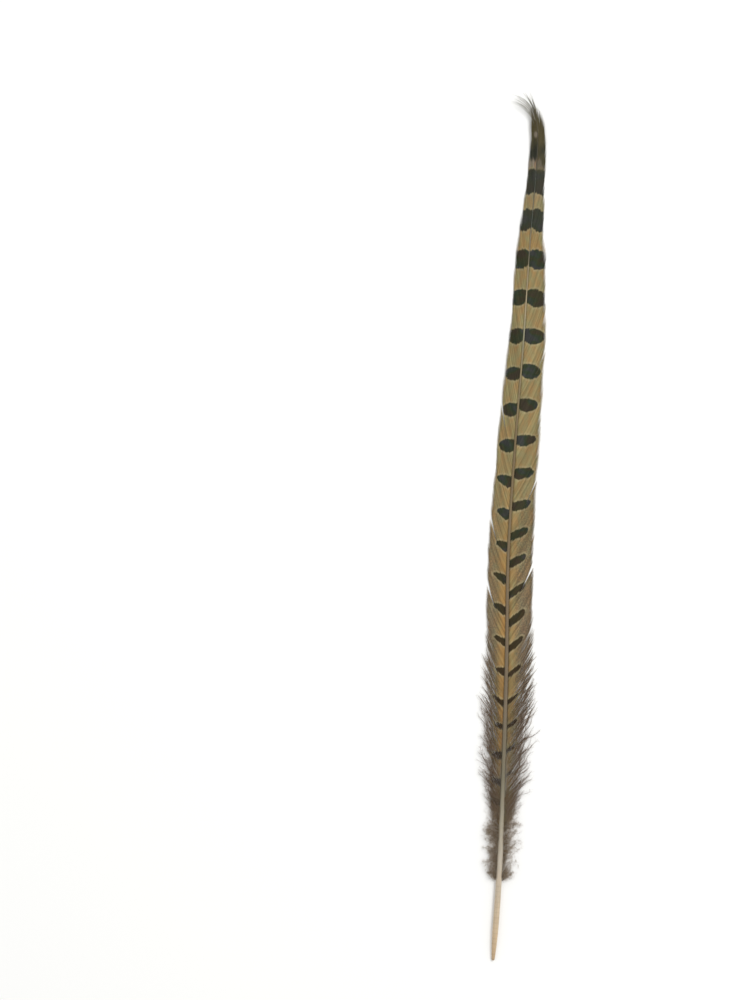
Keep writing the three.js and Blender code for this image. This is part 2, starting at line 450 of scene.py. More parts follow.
def barb_marking(roots, along, out, loose, hand, rng):
    """At each point of the barbs: the depth in a bar, the share of the tip's brown, and looseness."""
    toothed = BAR_TOOTH + BAR_TOOTH_GAIN * smoothstep(*BAR_TOOTH_PLACES, roots)
    jitter = BAR_JITTER * rng.normal(0, 1, (len(roots), 1))
    jitter = jitter + toothed * smooth_random(rng, roots, BAR_TOOTH_SCALE)
    brown_from = TIP_BROWN_FROM
    if hand == RIGHT:
        lower_from, lower_to, lower = TIP_BROWN_LOWER
        brown_from = TIP_BROWN_FROM - lower * smoothstep(lower_from, lower_to, out)
    tip = smoothstep(-TIP_BROWN_EDGE, TIP_BROWN_EDGE, along + 2 * jitter - brown_from)
    if hand == RIGHT:
        dusky_from, dusky_to, dusky = DUSKY_PATCH
        tip = np.maximum(tip, dusky * smoothstep(dusky_from, dusky_to, along))
    else:
        speck_along, speck_out, speck_length, speck_width = SPECK
        beside = np.hypot((along - speck_along) / speck_length, (out - speck_out) / speck_width)
        tip *= SPECK_BROWN + (1 - SPECK_BROWN) * smoothstep(0.6, 1.2, beside)
    depth = bar_depth(along + jitter, out, hand)
    return stacked(depth, tip, loose)


def vane_barbs(hand, settings, rng):
    """The barbs of one vane: their lines, half widths, and the facts that their colours need."""
    roots = np.arange(VANE_FROM, VANE_TO, settings.barb_spacing / MM)[:, None]
    count = len(roots)
    share = np.linspace(0, 1, BARB_POINTS)
    loose = 1 - smoothstep(LOOSE_WHOLLY, LOOSE_BELOW, roots)
    frayed = smoothstep(TIP_BROWN_FROM, VANE_TO, roots)
    sweep = smooth_curve(BARB_SWEEP_ALONG, BARB_SWEEP)(roots)
    reach = np.maximum(LINE.reach[hand](roots + sweep), 0.5)
    reach = reach * (1 + LENGTH_VARIES * smooth_random(rng, roots, LENGTH_SCALE))
    inner = BARB_SET * LINE.radius(roots)
    forward = sweep * share
    outward = (reach - inner) * share * (1 + BARB_BOW * (1 - share))

    # The distance from each barb to the next, square to them
    gap_forward = np.gradient(roots + forward, axis=0)
    gap_outward = np.gradient(inner + outward, axis=0)
    step_forward = np.gradient(forward, axis=1)
    step_outward = np.gradient(outward, axis=1)
    step = np.hypot(step_forward, step_outward)
    pitch = np.abs(gap_forward * step_outward - gap_outward * step_forward) / step

    stretch = 1 + LENGTH_VARIES * rng.uniform(-1, 1, (count, 1))
    stretch = stretch + loose * rng.uniform(*LOOSE_STRETCH, (count, 1))
    worn = rng.uniform(0, 1, (count, 1)) > WHOLE_BARBS
    stretch -= WORN_AWAY * frayed * worn * rng.uniform(0.2, 1, (count, 1))
    turn, curled = barb_turns(roots, share, loose, frayed, hand, settings.split_opening, rng)
    stretch += CURLED_LONGER * curled
    forward, outward = forward * stretch, outward * stretch
    along = roots + forward * np.cos(turn) + outward * np.sin(turn)
    out = np.maximum(inner + outward * np.cos(turn) - forward * np.sin(turn), 0.03)

    # A barb leaves the shaft at about its middle, and falls to the surface on its way out.
    attached = LINE.height(roots) + 0.15 * LINE.radius(roots) - LINE.surface(roots)
    fallen = smoothstep(0, 0.75, share)
    ripple = 0.5 + 0.5 * smooth_random(rng, roots, RIPPLE_SCALE)
    clump = smooth_random(rng, roots, CLUMP_SCALE)
    height = LINE.surface(along) + attached * (1 - fallen) + WEB_LIFT
    height += (RIPPLE * ripple + CLUMP * clump) * share**2
    height += loose * rng.uniform(*LOOSE_LIFT, (count, 1)) * share
    lines = LINE.points(along, out, hand, np.maximum(height, BARB_LOWEST))

    # A barb narrows over its last quarter, and where it leaves the shaft.
    narrowed = 1 - 0.75 * smoothstep(0.75, 1.0, share) - 0.5 * smoothstep(0.08, 0.0, share)
    half_width = 0.5 * settings.barb_overlap * np.clip(pitch, *BARB_PITCHES) * narrowed
    half_width *= 1 - LOOSE_NARROWER * loose + CURLED_WIDER * curled
    # A hooked barb lies in the slope of the web, so that no light comes between it and the next.
    _, side, over = axes(lines)
    apart = np.gradient(lines, axis=0)
    level = (apart * side).sum(-1)
    level = np.where(np.abs(level) < 0.01, 0.01, level)
    slope = np.clip(np.arctan((apart * over).sum(-1) / level), -STEEPEST, STEEPEST)
    return {
        "lines": lines,
        "half_width": half_width,
        "slope": slope * (1 - loose) * (1 - frayed),
        "loose": loose[:, 0],
        "place": stacked(along, out, share),
        "marking": barb_marking(roots, along, out, loose, hand, rng),
        "chance": rng.uniform(0, 1, (count, 1)),
        "clump": 0.5 + 0.5 * clump,
    }


def barbules(parents, weights, settings, lean, rng):
    """Fine, soft hairs that lean forward off both sides of parent lines, like the plumes of down.
    The parents are chosen by their weights. The lean is a range: 0 is square to the parent."""
    count = settings.hairs
    last = parents.shape[1] - 1
    parent = rng.choice(len(parents), count, p=weights / weights.sum())
    place = rng.uniform(*HAIR_PLACES, (count, 1))
    step = (place[:, 0] * last).astype(int)
    before, after = parents[parent, step], parents[parent, step + 1]
    start = before + (after - before) * (place * last - step[:, None])
    ahead = unit(after - before)
    side = unit(np.cross(ahead, UP)) * rng.choice([-1, 1], (count, 1))
    way = unit(ahead * rng.uniform(*lean, (count, 1)) + side + UP * rng.normal(0.1, 0.35, (count, 1)))
    bend = 0.35 * ahead + 0.75 * unit(rng.normal(0, 1, (count, 3)))
    length = settings.hair_length / MM
    reach = length * rng.uniform(*HAIR_LENGTHS, (count, 1)) * (1 - 0.45 * place**2)
    share = np.linspace(0, 1, HAIR_POINTS)[None, :, None]
    lines = start[:, None] + reach[:, None] * (way[:, None] * share + bend[:, None] * share**2)
    lines[..., 2] = np.maximum(lines[..., 2], HAIR_LOWEST)
    return lines, parent, step


def down_barbs(hand, settings, rng):
    """The soft barbs beside the top of the quill: each leaves it steeply and curls over."""
    count = settings.barbs
    roots = np.sort(rng.uniform(DOWN_FROM, DOWN_TO, count))[:, None]
    share = np.linspace(0, 1, DOWN_POINTS)
    fullness = np.sin(np.pi * np.clip((roots - DOWN_FROM + 8) / (DOWN_TO - DOWN_FROM + 14), 0, 1))
    length = settings.length / MM * (0.45 + 0.55 * fullness) * rng.uniform(*DOWN_LENGTHS, (count, 1))
    angle = np.radians(rng.uniform(*DOWN_ANGLES, (count, 1)))
    curl = rng.normal(0, 0.7, (count, 1))
    heading = angle + curl * share - 0.35 * share
    step = length / (DOWN_POINTS - 1)
    steps = np.stack([np.cos(heading), np.sin(heading)]) * step
    forward, outward = np.cumsum(steps, axis=-1) - steps[..., :1]
    phase = rng.uniform(0, 2 * np.pi, (3, count, 1))
    waves = rng.uniform(*DOWN_WAVES, (3, count, 1))
    curly = DOWN_WAVE_SIZE * np.sqrt(share) * np.sin(2 * np.pi * waves * share + phase)
    along = roots + forward + curly[0]
    out = 0.7 * LINE.radius(roots) + np.abs(outward + curly[1])
    peak = rng.uniform(*DOWN_PEAKS, (count, 1)) * (0.4 + 0.6 * fullness)
    height = LINE.height(roots) * (1 - 0.75 * share**2) + peak * np.sin(np.pi * 0.8 * share)
    return LINE.points(along, out, hand, np.maximum(height + curly[2], DOWN_LOWEST))


# Materials

RAMP_LENGTH = 500.0  # a place in a colour ramp is a share of this length
KERATIN_IOR = 1.55


def add_node(tree, kind, inputs=None, **settings):
    """Adds a node. An input is a constant, the output of another node, or another node, which
    stands for its first output in use. A setting is one of the node's own values."""
    node = tree.nodes.new(f"ShaderNode{kind}")
    for name, value in settings.items():
        setattr(node, name, value)
    for name, value in (inputs or {}).items():
        socket = node.inputs[name]
        if isinstance(value, bpy.types.Node):
            value = next(output for output in value.outputs if output.enabled)
        if isinstance(value, bpy.types.NodeSocket):
            tree.links.new(value, socket)
        elif socket.type == "RGBA" and len(value) == 3:
            socket.default_value = (*value, 1)
        else:
            socket.default_value = value
    return node


def new_material(name):
    """A material with an empty node tree."""
    material = bpy.data.materials.new(name)
    material.use_nodes = True
    material.node_tree.nodes.clear()
    return material, material.node_tree


def fill_ramp(node, *stops):
    """Gives a colour ramp its stops: (place, linear colour) in order."""
    elements = node.color_ramp.elements
    for place, _ in stops[1:-1]:
        elements.new(place)
    for element, (place, colour) in zip(elements, stops, strict=True):
        element.position = place
        element.color = (*colour, 1)


def read_fact(tree, name):
    """A fact that a piece holds at its corners: as a vector, and its three values."""
    vector = add_node(tree, "Attribute", attribute_name=name).outputs["Vector"]
    return vector, *add_node(tree, "SeparateXYZ", {0: vector}).outputs


def finish_surface(tree, colour, roughness, bump, looks):
    """Ends a material with its surface. A bump is its height, its strength and its size in metres."""
    height, strength, size = bump
    normal = add_node(tree, "Bump", {"Height": height, "Strength": strength, "Distance": size})
    inputs = {"Base Color": colour, "Roughness": roughness, "Normal": normal, **looks}
    add_node(tree, "OutputMaterial", {0: add_node(tree, "BsdfPrincipled", inputs)})


def amounts(tree, shape, table):
    """Adds the nodes for a table of amounts. Each amount is the product of one range or more. A
    range is the value it looks at, where that value starts and ends, and what it gives there."""
    names = ("From Min", "From Max", "To Min", "To Max")
    made = {}
    for name, ranges in table.items():
        for value, *limits in ranges:
            inputs = {"Value": value, **dict(zip(names, limits, strict=True))}
            amount = add_node(tree, "MapRange", inputs, interpolation_type=shape)
            if name in made:
                amount = add_node(tree, "Math", {0: made[name], 1: amount}, operation="MULTIPLY")
            made[name] = amount
    return made


def web_material(hand, settings):
    """Melanin-barred keratin web: barbs hooked side by side into a matt, faintly silky sheet.
    Its bars are pigment laid down in each barb as it grew, so that their edges step from barb to
    barb, and every barb is a little lighter or darker than the next."""
    side = "left" if hand == LEFT else "right"
    material, tree = new_material(f"Barred keratin web, {side}")
    place, along, out, share = read_fact(tree, "place")
    _, barb_chance, clump_chance, underside = read_fact(tree, "chance")
    _, depth, tip_share, _ = read_fact(tree, "marking")

    # Streaks that run along each barb, many across and few along it, blotches of warmer and cooler
    # ground about 6 mm long, flecks of a millimetre or less, and slow changes in the bars' hue
    on_barb = add_node(tree, "CombineXYZ", {0: barb_chance, 1: clump_chance, 2: share})
    noises = []
    for at, stretch, shift, detail in (
        (on_barb, (60.0, 9.0, 7.0), 0.0, 3.0),
        (place, (0.16, 0.34 * hand, 0.6), 0.0, 3.0),
        (place, (1.5, 1.1 * hand, 0.0), 0.0, 2.0),
        (place, (0.13, 0.1, 0.3), 7.3 * hand, 2.0),
    ):
        at = add_node(
            tree, "VectorMath", {0: at, 1: stretch, 2: (0.0, shift, 0.0)}, operation="MULTIPLY_ADD")
        noises.append(add_node(tree, "TexNoise", {"Vector": at, "Scale": 1.0, "Detail": detail}))
    streak, blotch, fleck, hue = noises
    # The streaks make the bars' edges waver.
    waver = add_node(tree, "Math", {0: streak, 1: 0.9, 2: depth}, operation="MULTIPLY_ADD")

    rustiest, fleckiest, tip_blotchiness = (0.7, 0.45, -1.15) if hand == LEFT else (0.22, 0.62, -0.5)
    even = amounts(tree, "LINEAR", {
        "warm": ((blotch, 0.5, 0.66, 0.0, 0.7),),
        "cool": ((blotch, 0.5, 0.34, 0.0, 0.75),),
        # Each barb and each clump of barbs has a shade of its own.
        "shade": (
            (barb_chance, 0.0, 1.0, 0.84, 1.14),
            (clump_chance, 0.0, 1.0, 0.8, 1.16),
            (streak, 0.3, 0.7, 0.88, 1.12),
        ),
        "rough": ((streak, 0.3, 0.7, 0.5, 0.72),),
    })
    soft = amounts(tree, "SMOOTHSTEP", {
        # The lower half turns rusty beside the shaft.
        "rust": (
            (out, 1.5, 7.0, rustiest, 0.0),
            (along, 210.0, 290.0, 1.0, 0.0),
            (along, 88.0, 128.0, 0.0, 1.0),
        ),
        # Its margin turns to a mauve brown.
        "margin": ((out, 3.5, 9.5, 0.0, 1.0), (along, 130.0, 300.0, 0.85, 0.0)),
        # Dark flecks cover its outer part.
        "fleck": (
            (out, 2.5, 6.5, 0.0, 1.0),
            (along, 225.0, 300.0, 1.0, 0.0),
            (fleck, 0.44, 0.58, 0.0, fleckiest),
        ),
        # The bars have a paler line around them. Their black is brown in the lower half, and the
        # last ones before the tip are a slaty grey.
        "halo": ((waver, -1.1, -0.1, 0.0, 0.5),),
        "bar": ((waver, 0.1, 0.7, 0.0, 1.0),),
        "brown": ((along, 150.0, 275.0, 0.92, 0.05),),
        "grey": ((along, 405.0, 435.0, 0.0, 0.6),),
        # The tip is dark above the last pale patch, and browner further up.
        "tip_up": ((along, 464.0, 478.0, 0.0, 1.0),),
    })

    ramp_at = add_node(tree, "Math", {0: along, 1: RAMP_LENGTH}, operation="DIVIDE")
    buff = add_node(tree, "ValToRGB", {0: ramp_at})
    fill_ramp(
        buff,
        (0.17, settings.foot),
        (0.25, linear("#84744f")),
        (0.32, linear("#917e54")),
        (0.46, settings.buff),
        (0.66, linear("#92835a")),
        (0.78, linear("#948359")),
        (0.82, linear("#987f52")),
        (0.87, linear("#90835f")),
        (0.91, linear("#8d8175")),
    )
    ground = buff
    for amount, layer in (
        (even["warm"], linear("#a08053")),
        (even["cool"], linear("#8f8a62")),
        (soft["rust"], settings.rust),
        (soft["margin"], settings.margin),
        (soft["fleck"], linear("#565145")),
        (soft["halo"], linear("#a89c78")),
    ):
        ground = add_node(tree, "Mix", {0: amount, 6: ground, 7: layer}, data_type="RGBA")
    # The bars' black turns greener, bluer and browner every few millimetres.
    black = add_node(tree, "ValToRGB", {0: hue})
    fill_ramp(
        black,
        (0.39, linear("#3b3427")),
        (0.47, settings.bar),
        (0.54, linear("#2e3a27")),
        (0.62, linear("#393b39")),
    )
    for amount, layer in ((soft["brown"], linear("#392a14")), (soft["grey"], linear("#403f37"))):
        black = add_node(tree, "Mix", {0: amount, 6: black, 7: layer}, data_type="RGBA")
    tip_blotch = add_node(
        tree, "Math", {0: blotch, 1: 2.2, 2: tip_blotchiness}, operation="MULTIPLY_ADD", use_clamp=True)
    tip_browner = add_node(
        tree, "Math", {0: soft["tip_up"], 1: tip_blotch}, operation="ADD", use_clamp=True)
    tip_ends = {0: tip_browner, 6: linear("#35362b"), 7: settings.tip}
    tip = add_node(tree, "Mix", tip_ends, data_type="RGBA")
    colour = ground
    for amount, layer in ((soft["bar"], black), (tip_share, tip)):
        colour = add_node(tree, "Mix", {0: amount, 6: colour, 7: layer}, data_type="RGBA")
    colour = add_node(tree, "VectorMath", {0: colour, "Scale": even["shade"]}, operation="SCALE")
    # The underside is paler and greyer.
    colour = add_node(
        tree, "Mix", {0: underside, 6: colour, 7: linear("#7d7566")}, data_type="RGBA")

    # Barbules cross each barb every 0.03 mm or so. They are drawn ten times as coarse, to show.
    angle = add_node(tree, "Math", {0: along, 1: 2 * math.pi / 0.3}, operation="MULTIPLY")
    barbules_bump = (add_node(tree, "Math", {0: angle}, operation="SINE"), 0.35, 0.03 * MM)
    finish_surface(tree, colour, even["rough"], barbules_bump, {
        "IOR": KERATIN_IOR, "Specular IOR Level": 0.12, "Sheen Weight": 0.03, "Sheen Roughness": 0.5})
    return material


def hair_material(name, root_colour, lit_tip_colour, length):
    """Fine, unhooked keratin barbules: dull and soft, with paler ends that are painted light, where
    light comes through.
    """
    material, tree = new_material(name)
    _, chance, share, _ = read_fact(tree, "place")
    # Each hair has a knot every 0.05 mm. They are drawn four times as coarse, to show.
    knots = 2 * math.pi * length / (0.2 * MM)
    angle = add_node(tree, "Math", {0: share, 1: knots}, operation="MULTIPLY")
    knot = add_node(tree, "Math", {0: angle}, operation="SINE")
    even = amounts(tree, "LINEAR", {
        "shade": ((chance, 0.0, 1.0, 0.62, 1.24), (chance, DARK_CHANCE, PALE_CHANCE, 0.42, 1.0)),
        "rough": ((knot, -1.0, 1.0, 0.85, 0.7),),
    })
    # Painted light: each hair turns paler from its root to its tip.
    colour = add_node(
        tree, "Mix", {0: share, 6: root_colour, 7: lit_tip_colour}, data_type="RGBA")
    colour = add_node(tree, "VectorMath", {0: colour, "Scale": even["shade"]}, operation="SCALE")
    finish_surface(tree, colour, even["rough"], (knot, 0.3, 0.01 * MM), {
        "IOR": KERATIN_IOR, "Specular IOR Level": 0.12, "Sheen Weight": 0.12, "Sheen Roughness": 0.6})
    return material


def horn_material(settings):
    """Quill horn: hard, clear keratin over a hollow quill and, further up, over white pith. It was
    grown, not polished, so that it has a satin gloss broken by fine lengthwise grain."""
    material, tree = new_material("Quill horn")
    place, along, _, _ = read_fact(tree, "place")
    # Each point's depth in a bar, and its share across the shaft, which sets the painted shade on its
    # sides
    _, depth, side_shade_at, _ = read_fact(tree, "marking")
    grain_at = add_node(tree, "VectorMath", {0: place, 1: (0.12, 2.6, 2.6)}, operation="MULTIPLY")
    grain = add_node(tree, "TexNoise", {
        "Vector": grain_at, "Scale": 1.0, "Detail": 5.0, "Roughness": 0.6})
    angle = add_node(tree, "Math", {0: along, 1: 2 * math.pi / 3.0}, operation="MULTIPLY")
    cap_wave = add_node(tree, "Math", {0: angle}, operation="SINE")
    even = amounts(tree, "LINEAR", {
        "grain": ((grain, 0.25, 0.75, 0.8, 1.15),),
        # Old pith caps inside the clear quill show through as faint cross bands, 3 mm apart.
        "cap": ((cap_wave, 0.6, 1.0, 1.0, 0.9),),
        "rough": ((grain, 0.0, 1.0, 0.24, 0.42),),
    })
    soft = amounts(tree, "SMOOTHSTEP", {
        # Towards the tip the dark bars cross the shaft as well.
        "bar": ((depth, 0.0, 0.8, 0.0, 1.0), (along, 378.0, 426.0, 0.0, 1.0)),
        "caps_here": ((along, 40.0, 55.0, 1.0, 0.0),),
        # Painted shade and light on the round shaft: its sides are darker, and its back a little
        # lighter.
        "sides": ((side_shade_at, 0.5, 0.95, 1.06, 0.68),),
    })
    ramp_at = add_node(tree, "Math", {0: along, 1: RAMP_LENGTH}, operation="DIVIDE")
    horn = add_node(tree, "ValToRGB", {0: ramp_at})
    fill_ramp(
        horn,
        (0.0, linear("#b09470")),
        (0.03, settings.quill),
        (0.115, linear("#b5ab9a")),
        (0.16, linear("#968e7b")),
        (0.21, linear("#6d6651")),
        (0.30, linear("#695c48")),
        (0.40, linear("#6b5a40")),
        (0.50, settings.rachis),
        (0.60, linear("#6b5937")),
        (0.68, linear("#7d6f4d")),
        (0.72, linear("#7f7c62")),
        (0.75, linear("#9a8b6a")),
        (0.80, linear("#837558")),
        (0.86, linear("#68634c")),
        (0.92, linear("#453e2e")),
    )
    colour = add_node(
        tree, "Mix", {0: soft["bar"], 6: horn, 7: linear("#333a2c")}, data_type="RGBA")
    caps = add_node(tree, "Mix", {0: soft["caps_here"], 2: 1.0, 3: even["cap"]}, data_type="FLOAT")
    # The grain, the pith caps and the painted shade on the sides scale the colour.
    shade = even["grain"]
    for factor in (caps, soft["sides"]):
        shade = add_node(tree, "Math", {0: shade, 1: factor}, operation="MULTIPLY")
    colour = add_node(tree, "VectorMath", {0: colour, "Scale": shade}, operation="SCALE")
    finish_surface(tree, colour, even["rough"], (grain, 0.3, 0.05 * MM), {
        "IOR": KERATIN_IOR, "Specular IOR Level": 0.5, "Subsurface Weight": 0.12,
        "Subsurface Radius": (1.0, 0.6, 0.35), "Subsurface Scale": 0.6 * MM})
    return material


def paper_material(settings):
    """Matt white seamless paper: an even, fine-toothed ground that takes soft shadows."""
    material, tree = new_material("Seamless paper")
    tooth = add_node(tree, "TexNoise", {"Scale": 900.0, "Detail": 2.0})
    finish_surface(tree, settings.floor, 0.95, (tooth, 0.05, 0.1 * MM), {
        "IOR": 1.5, "Specular IOR Level": 0.1})
    return material


# What a user can change

COLOUR = {"subtype": "COLOR", "min": 0, "max": 1}
LENGTH = {"unit": "LENGTH", "precision": 5}


class ShaftSettings(bpy.types.PropertyGroup):
    groove: bpy.props.FloatProperty(
        name="Groove", description="Depth of the groove under the shaft, as a share of its radius",
        default=0.32, min=0, max=0.8, subtype="FACTOR")
    quill: bpy.props.FloatVectorProperty(
        name="Quill", description="Colour of the bare quill", default=linear("#c0a988"), **COLOUR)
    rachis: bpy.props.FloatVectorProperty(
        name="Shaft", description="Colour of the shaft between the vanes",
        default=linear("#6c5b3c"), **COLOUR)


class VaneSettings(bpy.types.PropertyGroup):
    barb_spacing: bpy.props.FloatProperty(
        name="Barb Spacing", description="Distance between barbs along the shaft",
        default=0.62 * MM, min=0.4 * MM, max=3 * MM, **LENGTH)
    barb_overlap: bpy.props.FloatProperty(
        name="Barb Overlap", description="Width of a barb's web, as a share of the barbs' spacing",
        default=1.6, min=0.5, max=3)
    split_opening: bpy.props.FloatProperty(
        name="Split Opening", description="How far the vanes part where their barbs have come apart",
        default=1.0, min=0, max=3)
    buff: bpy.props.FloatVectorProperty(
        name="Buff", description="Ground colour between the bars", default=linear("#927e54"), **COLOUR)
    rust: bpy.props.FloatVectorProperty(
        name="Rust", description="Colour beside the shaft in the lower half",
        default=linear("#a47b44"), **COLOUR)
    bar: bpy.props.FloatVectorProperty(
        name="Bars", description="Colour of the dark bars", default=linear("#393923"), **COLOUR)
    tip: bpy.props.FloatVectorProperty(
        name="Tip", description="Colour of the dark tip", default=linear("#564e34"), **COLOUR)
    margin: bpy.props.FloatVectorProperty(
        name="Margin", description="Colour of the lower half's margins",
        default=linear("#7a6758"), **COLOUR)
    foot: bpy.props.FloatVectorProperty(
        name="Foot", description="Ground colour of the vanes' foot",
        default=linear("#6b5a42"), **COLOUR)
    hairs: bpy.props.IntProperty(
        name="Loose Barbules", description="Fine hairs along the loose barbs of each vane's foot",
        default=7300, min=0, max=12000)
    hair_length: bpy.props.FloatProperty(
        name="Barbule Length", description="Longest loose barbule",
        default=2.6 * MM, min=0.2 * MM, max=6 * MM, **LENGTH)


class DownSettings(bpy.types.PropertyGroup):
    barbs: bpy.props.IntProperty(
        name="Barbs", description="Downy barbs on each side", default=130, min=1, max=400)
    length: bpy.props.FloatProperty(
        name="Length", description="Length of the longest downy barbs",
        default=11.5 * MM, min=2 * MM, max=30 * MM, **LENGTH)
    hairs: bpy.props.IntProperty(
        name="Barbules", description="Fine hairs on each side's downy barbs",
        default=9500, min=0, max=12000)
    hair_length: bpy.props.FloatProperty(
        name="Barbule Length", description="Longest downy barbule",
        default=2.4 * MM, min=0.2 * MM, max=6 * MM, **LENGTH)
    colour: bpy.props.FloatVectorProperty(
        name="Down", description="Colour of the down", default=linear("#98846b"), **COLOUR)


class StageSettings(bpy.types.PropertyGroup):
    floor: bpy.props.FloatVectorProperty(
        name="Floor", description="Colour of the paper floor", default=linear("#f6f6f4"), **COLOUR)
    key_power: bpy.props.FloatProperty(
        name="Key Light", description="Power of the soft main light", default=23.0, min=0, unit="POWER")
    sky: bpy.props.FloatProperty(
        name="Sky", description="Strength of the even light from all around", default=0.8, min=0)


class FeatherSettings(bpy.types.PropertyGroup):
    shaft: bpy.props.PointerProperty(type=ShaftSettings)
    vanes: bpy.props.PointerProperty(type=VaneSettings)
    down: bpy.props.PointerProperty(type=DownSettings)
    stage: bpy.props.PointerProperty(type=StageSettings)


# Operators


class FEATHER_OT_shaft(bpy.types.Operator):
    """Build the quill and the shaft, in one tapering length of horn"""

    bl_idname = "feather.shaft"
    bl_label = "Build Shaft"
    bl_options = {"REGISTER", "UNDO"}

    CORNERS = 20
    STEP = 1.25
    # The quill's end is a pit in a rounded rim. Radii are shares of the shaft's.
    END_ALONG = (1.2, 0.3, 0.0, 0.05, 0.3)
    END_RADII = (0.12, 0.3, 0.45, 0.7, 0.92)
    TIP_RADII = (0.9, 0.3)
    TIP_LENGTH = 0.3
    SQUARED = (50, 105)  # between these places the round quill turns into the squarer shaft
    SQUARENESS = 0.22
    NARROWED = 0.14  # how much narrower than high the shaft is
    GROOVE_WIDTH = 0.38
    QUILL_SIDE_SHADE = 0.3  # the quill's sides get less of the painted side shade, so they are nearly as pale as its back

    def execute(self, context):
        settings = context.scene.feather.shaft
        end = LINE.shaft_length
        body = np.arange(1.0, end, self.STEP)
        along = np.concatenate([self.END_ALONG, body, [end, end + self.TIP_LENGTH]])[:, None]
        taper = np.concatenate([self.END_RADII, np.ones(len(body)), self.TIP_RADII])[:, None]
        radius = LINE.radius(along) * taper
        angle = -2 * np.pi * np.arange(self.CORNERS) / self.CORNERS
        squared = smoothstep(*self.SQUARED, along)
        power = 1 - self.SQUARENESS * squared
        across = np.sign(np.cos(angle)) * np.abs(np.cos(angle)) ** power
        upward = np.sign(np.sin(angle)) * np.abs(np.sin(angle)) ** power
        across = across * (1 - self.NARROWED * squared)
        under = np.clip(-np.sin(angle), 0, 1) ** 2
        grooved = under * np.exp(-((across / self.GROOVE_WIDTH) ** 2))
        upward = upward + settings.groove * squared * grooved
        height = LINE.height(along) + radius * upward
        points = LINE.points(along, radius * across, RIGHT, height)[None]
        # The share across the shaft that its painted side shade follows; the round quill gets less of
        # it.
        side_shade_at = np.abs(across) * (self.QUILL_SIDE_SHADE + (1 - self.QUILL_SIDE_SHADE) * squared)
        depth = bar_depth(along, np.zeros(along.shape), RIGHT)
        facts = {
            "place": stacked(along, radius * across, radius * upward),
            "marking": stacked(depth, side_shade_at, 0.0),
        }
        make_piece("shaft_horn", points, facts, None, horn_material(settings), "shaft")
        return {"FINISHED"}


def make_hairs(name, lines, half_width, taper, chance, material, replaces=None):
    """Three-sided strips along the lines, which narrow to their tips, as one piece."""
    steps = lines.shape[1]
    share = np.linspace(0, 1, steps)
    half_width = np.broadcast_to(half_width * (1 - taper * share), lines.shape[:2])
    points = strip_points(lines, half_width, half_width, HAIR_SECTION)
    facts = {"place": stacked(chance[:, None, None], share[:, None], 0.0)}
    make_piece(name, points, facts, hair_bake_map(chance, steps), material, replaces)


class FEATHER_OT_vanes(bpy.types.Operator):
    """Build both vanes, barb by barb, with the loose barbules of their foot"""

    bl_idname = "feather.vanes"
    bl_label = "Build Vanes"
    bl_options = {"REGISTER", "UNDO"}

    RIDGE = 0.07  # half the thickness of a barb
    DEEPEST = 0.8  # most of its half width that this may be
    TILT = math.radians(4)
    HAIR_HALF_WIDTH = 0.027
    HAIR_LEAN = (0.7, 1.9)

    def execute(self, context):
        settings = context.scene.feather.vanes
        # The loose barbules' tips are paler with painted light.
        hair = hair_material("Loose barbules, mauve brown", linear("#5e4936"), linear("#90745b"),
                             settings.hair_length)
        for side, hand in SIDES.items():
            rng = np.random.default_rng(SEED + hand)
            barbs = vane_barbs(hand, settings, rng)
            lines, half_width = barbs["lines"], barbs["half_width"]
            half_depth = np.minimum(self.RIDGE, half_width * self.DEEPEST)
            tilt = barbs["slope"] - hand * self.TILT
            points = strip_points(lines, half_width, half_depth, BARB_SECTION, tilt)
            facts = {
                "place": barbs["place"][:, :, None],
                "marking": barbs["marking"][:, :, None],
                "chance": stacked(barbs["chance"][..., None], barbs["clump"][..., None], UNDERSIDE),
            }
            make_piece(f"barbs_{side}", points, facts, barb_bake_map(*points.shape[:2]),
                       web_material(hand, settings), f"vane_{side}")
            weights = barbs["loose"] ** 1.5 + 1e-6
            hairs, parent, step = barbules(lines, weights, settings, self.HAIR_LEAN, rng)
            # Those that grow inside a dark bar are dark.
            chance = rng.uniform(PALE_CHANCE, 1, settings.hairs)
            dark = barbs["marking"][parent, step, 0] > 0
            chance = np.where(dark, rng.uniform(0, DARK_CHANCE, settings.hairs), chance)
            make_hairs(f"loose_barbules_{side}", hairs, self.HAIR_HALF_WIDTH, HAIR_TAPER, chance,
                       hair)
        return {"FINISHED"}


class FEATHER_OT_down(bpy.types.Operator):
    """Build the down at the foot of both vanes"""

    bl_idname = "feather.down"
    bl_label = "Build Down"
    bl_options = {"REGISTER", "UNDO"}

    HALF_WIDTH = 0.055
    TAPER = 0.7
    HAIR_HALF_WIDTH = 0.021
    HAIR_LEAN = (0.4, 1.2)
    DARKER, PALER = 0.62, 1.35  # the colours of a hair's root and tip, as shares of the down's; the paler tip is painted light

    def execute(self, context):
        settings = context.scene.feather.down
        dark = tuple(self.DARKER * c for c in settings.colour)
        pale = tuple(min(1.0, self.PALER * c) for c in settings.colour)
        material = hair_material("Down, pinkish grey", dark, pale, settings.hair_length)
        for side, hand in SIDES.items():
            rng = np.random.default_rng(DOWN_SEED + hand)
            lines = down_barbs(hand, settings, rng)
            chance = rng.uniform(PALE_CHANCE, 1, settings.barbs)
            make_hairs(f"down_barbs_{side}", lines, self.HALF_WIDTH, self.TAPER, chance,
                       material, f"down_{side}")
            weights = np.ones(settings.barbs)
            hairs, _, _ = barbules(lines, weights, settings, self.HAIR_LEAN, rng)
            chance = rng.uniform(PALE_CHANCE, 1, settings.hairs)
            make_hairs(f"down_barbules_{side}", hairs, self.HAIR_HALF_WIDTH, HAIR_TAPER, chance,
                       material)
        return {"FINISHED"}


